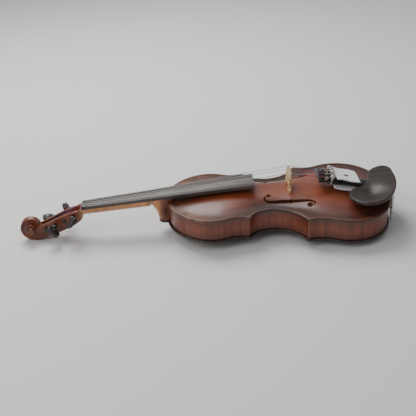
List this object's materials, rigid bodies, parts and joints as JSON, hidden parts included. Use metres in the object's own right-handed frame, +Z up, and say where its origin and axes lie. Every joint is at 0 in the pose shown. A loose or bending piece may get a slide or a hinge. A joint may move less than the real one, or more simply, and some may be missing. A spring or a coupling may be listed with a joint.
{
  "type": "violin",
  "caption": "Full-size acoustic violin with turning pegs, fine tuners, bridge, strings and a side-dished chin rest on a screw clamp, lying on its back.",
  "frame": {"origin": "centre of the bounding box, on the surface that the violin lies on", "axes": "+X runs from the scroll to the tail, +Z is up out of the belly with the violin lying on its back, +Y is the treble side"},
  "size_m": [0.6062, 0.208, 0.0955],
  "materials": {
    "belly_varnish": "red-brown shaded varnish over spruce, satin",
    "back_varnish": "red-brown shaded varnish over flamed maple, satin",
    "neck_wood": "maple, oiled on the neck and varnished on the head",
    "bare_spruce": "bare spruce and willow",
    "purfling": "black and white inlaid strips under varnish",
    "ebonised_wood": "ebony, polished by hand",
    "bridge_maple": "bare quartered maple",
    "string_steel": "flat-wound metal with coloured silk at both ends",
    "tail_gut": "black synthetic cord",
    "cork": "sheet cork",
    "nickel": "nickel plate",
    "foam": "thin white packing foam"
  },
  "bodies": {
    "root": {"back_plate": "back_varnish", "back_purfling": "purfling", "bass_bar": "bare_spruce", "bridge": "bridge_maple", "chin_rest_corks": "cork", "chin_rest_plate": "ebonised_wood", "clamp_screws": "nickel", "clamp_upper_bracket": "nickel", "corner_blocks": "bare_spruce", "end_block": "bare_spruce", "end_button": "ebonised_wood", "fingerboard": "ebonised_wood", "foam_wrap": "foam", "linings": "bare_spruce", "lower_rib_bass": "back_varnish", "lower_rib_treble": "back_varnish", "neck_and_scroll": "neck_wood", "neck_block": "bare_spruce", "nut": "ebonised_wood", "saddle": "ebonised_wood", "sound_post": "bare_spruce", "string_a": "string_steel", "string_d": "string_steel", "string_e": "string_steel", "string_g": "string_steel", "tail_gut": "tail_gut", "tailpiece": "ebonised_wood", "top_plate": "belly_varnish", "top_purfling": "purfling", "tuner_pins": "nickel", "upper_rib_bass": "back_varnish", "upper_rib_treble": "back_varnish", "waist_rib_bass": "back_varnish", "waist_rib_treble": "back_varnish"},
    "peg_g": {"peg_g": "ebonised_wood", "peg_winding_g": "string_steel"},
    "tuner_travel_g": {"tuner_screw_g": "nickel"},
    "tuner_knob_g": {"tuner_knob_g": "nickel"},
    "tuner_lever_g": {"tuner_lever_g": "nickel"},
    "peg_d": {"peg_d": "ebonised_wood", "peg_winding_d": "string_steel"},
    "tuner_travel_d": {"tuner_screw_d": "nickel"},
    "tuner_knob_d": {"tuner_knob_d": "nickel"},
    "tuner_lever_d": {"tuner_lever_d": "nickel"},
    "peg_a": {"peg_a": "ebonised_wood", "peg_winding_a": "string_steel"},
    "tuner_travel_a": {"tuner_screw_a": "nickel"},
    "tuner_knob_a": {"tuner_knob_a": "nickel"},
    "tuner_lever_a": {"tuner_lever_a": "nickel"},
    "peg_e": {"peg_e": "ebonised_wood", "peg_winding_e": "string_steel"},
    "tuner_travel_e": {"tuner_screw_e": "nickel"},
    "tuner_knob_e": {"tuner_knob_e": "nickel"},
    "tuner_lever_e": {"tuner_lever_e": "nickel"},
    "clamp_barrel_treble": {"clamp_barrel_treble": "nickel"},
    "clamp_barrel_bass": {"clamp_barrel_bass": "nickel"},
    "clamp_lower": {"clamp_lower_bracket": "nickel", "clamp_lower_cork": "cork"}
  },
  "joints": [
    {"name": "peg_turn_g", "type": "hinge", "parent": "root", "child": "peg_g", "pos_m": [-0.21558, -0.0126, 0.04028], "axis": [0, -1, 0], "continuous": true},
    {"name": "peg_turn_d", "type": "hinge", "parent": "root", "child": "peg_d", "pos_m": [-0.24661, -0.0126, 0.02662], "axis": [0, -1, 0], "continuous": true},
    {"name": "peg_turn_a", "type": "hinge", "parent": "root", "child": "peg_a", "pos_m": [-0.26116, 0.0126, 0.02026], "axis": [0, 1, 0], "continuous": true},
    {"name": "peg_turn_e", "type": "hinge", "parent": "root", "child": "peg_e", "pos_m": [-0.23015, 0.0126, 0.03412], "axis": [0, 1, 0], "continuous": true},
    {"name": "tuner_travel_g", "type": "slide", "parent": "root", "child": "tuner_travel_g", "axis": [-0.2553, 0, -0.9669], "range_m": [0, 0.0021]},
    {"name": "tuner_turn_g", "type": "hinge", "parent": "tuner_travel_g", "child": "tuner_knob_g", "pos_m": [0.19823, -0.0162, 0.07754], "axis": [-0.2553, 0, -0.9669], "range_deg": [0, 1080]},
    {"name": "tuner_rock_g", "type": "hinge", "parent": "root", "child": "tuner_lever_g", "pos_m": [0.18685, -0.0162, 0.07558], "axis": [0, 1, 0], "range_deg": [0, 12]},
    {"name": "tuner_travel_d", "type": "slide", "parent": "root", "child": "tuner_travel_d", "axis": [-0.2553, 0, -0.9669], "range_m": [0, 0.0021]},
    {"name": "tuner_turn_d", "type": "hinge", "parent": "tuner_travel_d", "child": "tuner_knob_d", "pos_m": [0.19823, -0.0054, 0.07754], "axis": [-0.2553, 0, -0.9669], "range_deg": [0, 1080]},
    {"name": "tuner_rock_d", "type": "hinge", "parent": "root", "child": "tuner_lever_d", "pos_m": [0.18685, -0.0054, 0.07558], "axis": [0, 1, 0], "range_deg": [0, 12]},
    {"name": "tuner_travel_a", "type": "slide", "parent": "root", "child": "tuner_travel_a", "axis": [-0.2553, 0, -0.9669], "range_m": [0, 0.0021]},
    {"name": "tuner_turn_a", "type": "hinge", "parent": "tuner_travel_a", "child": "tuner_knob_a", "pos_m": [0.19823, 0.0054, 0.07754], "axis": [-0.2553, 0, -0.9669], "range_deg": [0, 1080]},
    {"name": "tuner_rock_a", "type": "hinge", "parent": "root", "child": "tuner_lever_a", "pos_m": [0.18685, 0.0054, 0.07558], "axis": [0, 1, 0], "range_deg": [0, 12]},
    {"name": "tuner_travel_e", "type": "slide", "parent": "root", "child": "tuner_travel_e", "axis": [-0.2553, 0, -0.9669], "range_m": [0, 0.0021]},
    {"name": "tuner_turn_e", "type": "hinge", "parent": "tuner_travel_e", "child": "tuner_knob_e", "pos_m": [0.19823, 0.0162, 0.07754], "axis": [-0.2553, 0, -0.9669], "range_deg": [0, 1080]},
    {"name": "tuner_rock_e", "type": "hinge", "parent": "root", "child": "tuner_lever_e", "pos_m": [0.18685, 0.0162, 0.07558], "axis": [0, 1, 0], "range_deg": [0, 12]},
    {"name": "barrel_turn_treble", "type": "hinge", "parent": "root", "child": "clamp_barrel_treble", "pos_m": [0.29435, 0.0185, 0.02926], "axis": [0.0293, 0, 0.9996], "range_deg": [0, 1440]},
    {"name": "barrel_turn_bass", "type": "hinge", "parent": "root", "child": "clamp_barrel_bass", "pos_m": [0.29435, -0.0185, 0.02926], "axis": [0.0293, 0, 0.9996], "range_deg": [0, 1440]},
    {"name": "clamp_opening", "type": "slide", "parent": "root", "child": "clamp_lower", "axis": [-0.0293, 0, -0.9996], "range_m": [0, 0.004]}
  ],
  "couplings": [
    {"joint": "tuner_turn_g", "follows": "tuner_travel_g", "rad_per_m": 8976},
    {"joint": "tuner_rock_g", "follows": "tuner_travel_g", "rad_per_m": 99.733},
    {"joint": "tuner_turn_d", "follows": "tuner_travel_d", "rad_per_m": 8976},
    {"joint": "tuner_rock_d", "follows": "tuner_travel_d", "rad_per_m": 99.733},
    {"joint": "tuner_turn_a", "follows": "tuner_travel_a", "rad_per_m": 8976},
    {"joint": "tuner_rock_a", "follows": "tuner_travel_a", "rad_per_m": 99.733},
    {"joint": "tuner_turn_e", "follows": "tuner_travel_e", "rad_per_m": 8976},
    {"joint": "tuner_rock_e", "follows": "tuner_travel_e", "rad_per_m": 99.733},
    {"joint": "barrel_turn_treble", "follows": "clamp_opening", "rad_per_m": 6283.2},
    {"joint": "barrel_turn_bass", "follows": "clamp_opening", "rad_per_m": 6283.2}
  ]
}
